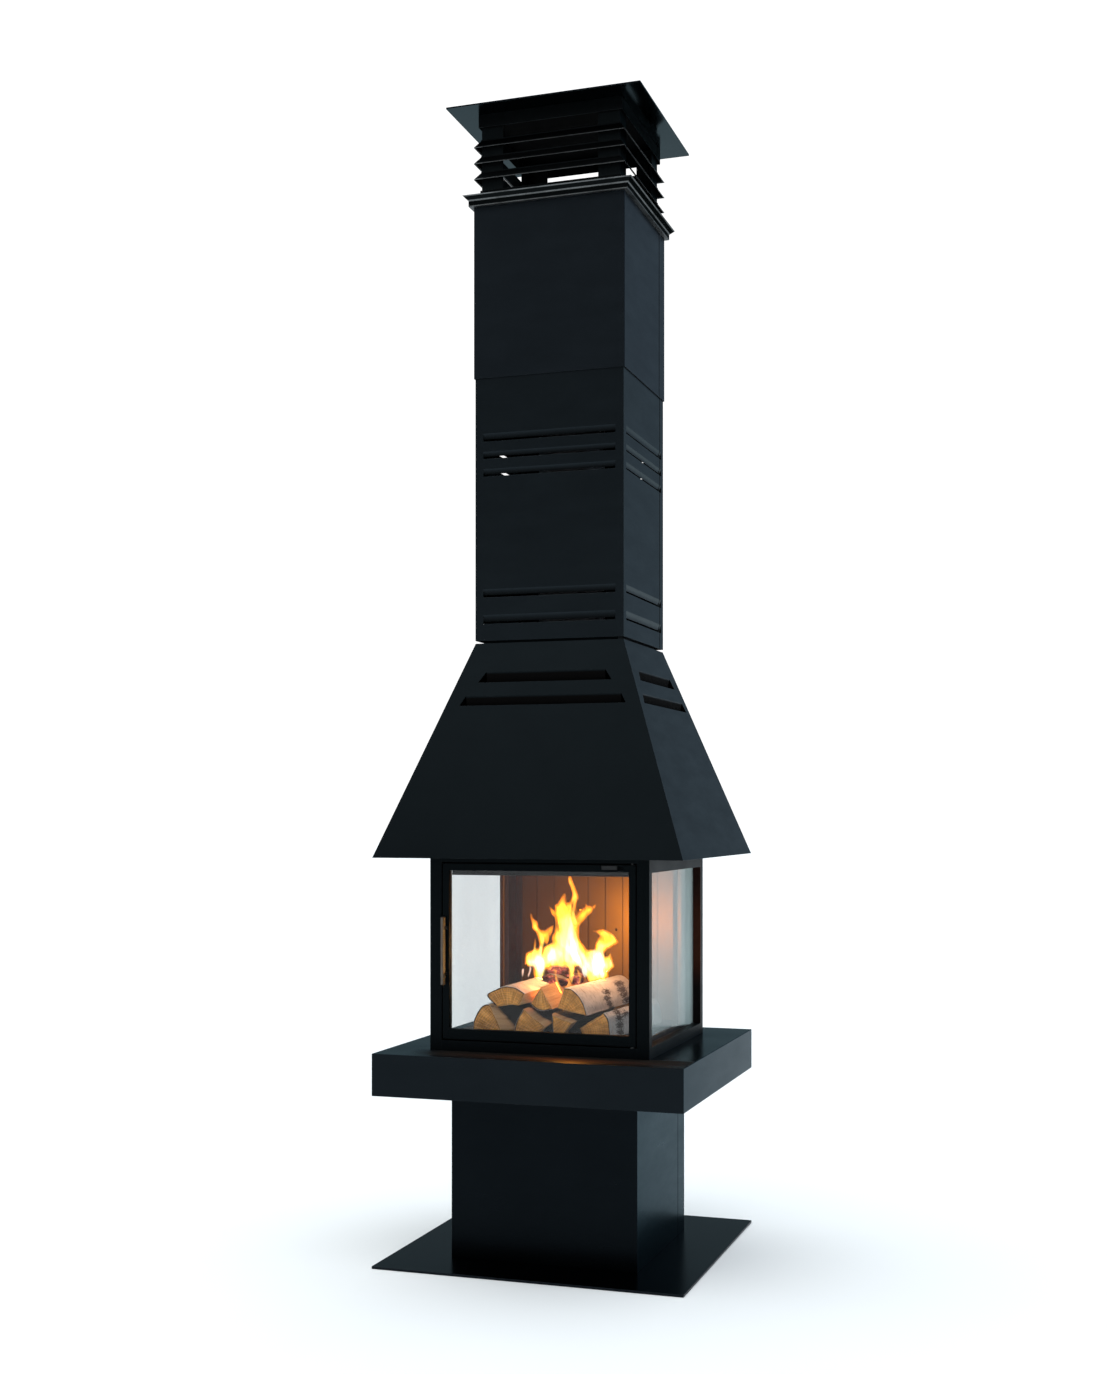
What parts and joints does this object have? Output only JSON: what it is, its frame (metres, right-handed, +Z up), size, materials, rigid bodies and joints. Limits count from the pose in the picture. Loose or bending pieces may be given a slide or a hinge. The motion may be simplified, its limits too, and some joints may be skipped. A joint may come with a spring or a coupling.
{
  "type": "freestanding fireplace",
  "caption": "Freestanding wood fireplace: square pedestal and hearth table, glazed firebox with a hinged door, pyramid hood, telescoping square flue casing and louvred cap.",
  "frame": {"origin": "on the ground under the middle of the base plate", "axes": "+Z up, the door faces -Y, +X to the right of someone facing the door, who looks along +Y"},
  "size_m": [0.83, 0.83, 3.05],
  "materials": {
    "body_paint": "satin powder coat, blue-black",
    "base_paint": "satin powder coat, blue-black",
    "frame_paint": "heat-resistant satin paint, black",
    "inner_steel": "heat-dulled dark steel",
    "zinc_steel": "zinc-plated",
    "handle_steel": "brushed, bronze-grey edge",
    "slider_steel": "satin",
    "flue_steel": "dull stainless",
    "cast_iron": "raw cast, sooty",
    "brass_bush": "plain",
    "lining": "matt fireclay",
    "rope_seal": "woven glass rope, graphite grey",
    "stove_glass": "clear glass ceramic",
    "firewood": "split birch with bark",
    "charred_wood": "charred"
  },
  "bodies": {
    "stove_body": {"air_wash_deflector": "inner_steel", "ash_housing": "inner_steel", "ash_pan": "zinc_steel", "baffle_plate": "lining", "baffle_rests": "inner_steel", "base_plate": "base_paint", "cap_louvre_rings": "body_paint", "cap_posts": "body_paint", "cap_skirt": "body_paint", "cap_top_plate": "body_paint", "cornice_collar": "body_paint", "door_stop_bars": "frame_paint", "firebox_floor": "cast_iron", "flue_pipe_lower": "flue_steel", "flue_pipe_upper": "flue_steel", "frame_bolts": "zinc_steel", "grate": "cast_iron", "hearth_table_frame": "inner_steel", "hearth_table_shell": "body_paint", "hinge_pins": "zinc_steel", "hood": "body_paint", "insert_casing": "inner_steel", "insert_posts": "frame_paint", "insert_rails": "frame_paint", "insert_top_plate": "inner_steel", "latch_keeper": "zinc_steel", "lining_angles": "inner_steel", "lining_back_board": "lining", "lining_corners": "lining", "log_charred": "charred_wood", "logs_lower": "firewood", "logs_upper": "firewood", "lower_casing_back_panel": "body_paint", "lower_casing_front_shell": "body_paint", "neck_sleeve": "inner_steel", "panel_screws": "zinc_steel", "pedestal_back_panel": "body_paint", "pedestal_frame": "inner_steel", "pedestal_front_shell": "body_paint", "pipe_spacers": "inner_steel", "side_glass_clips": "inner_steel", "side_glass_left": "stove_glass", "side_glass_right": "stove_glass", "side_glass_seals": "rope_seal", "smoke_dome": "inner_steel", "upper_baffle": "inner_steel", "upper_casing_back_panel": "body_paint", "upper_casing_front_shell": "body_paint"},
    "door": {"door_frame": "frame_paint", "door_glass": "stove_glass", "door_glass_seal": "rope_seal", "door_glass_frame": "inner_steel", "door_glass_screws": "zinc_steel", "door_rope_seal": "rope_seal", "hinge_bushes": "brass_bush"},
    "door_handle": {"latch_spindle": "zinc_steel", "handle_studs": "zinc_steel", "handle_blade": "handle_steel"},
    "air_slider": {"air_slider_plate": "slider_steel"}
  },
  "joints": [
    {"name": "door_hinge", "type": "hinge", "parent": "stove_body", "child": "door", "pos_m": [0.252, -0.29, 0.8195], "axis": [0, 0, 1], "range_deg": [0, 100]},
    {"name": "handle_turn", "type": "hinge", "parent": "door", "child": "door_handle", "pos_m": [-0.256, -0.287, 0.82], "axis": [0, 0, 1], "range_deg": [0, 20]},
    {"name": "air_slide", "type": "slide", "parent": "door", "child": "air_slider", "axis": [1, 0, 0], "range_m": [0, 0.018]}
  ]
}
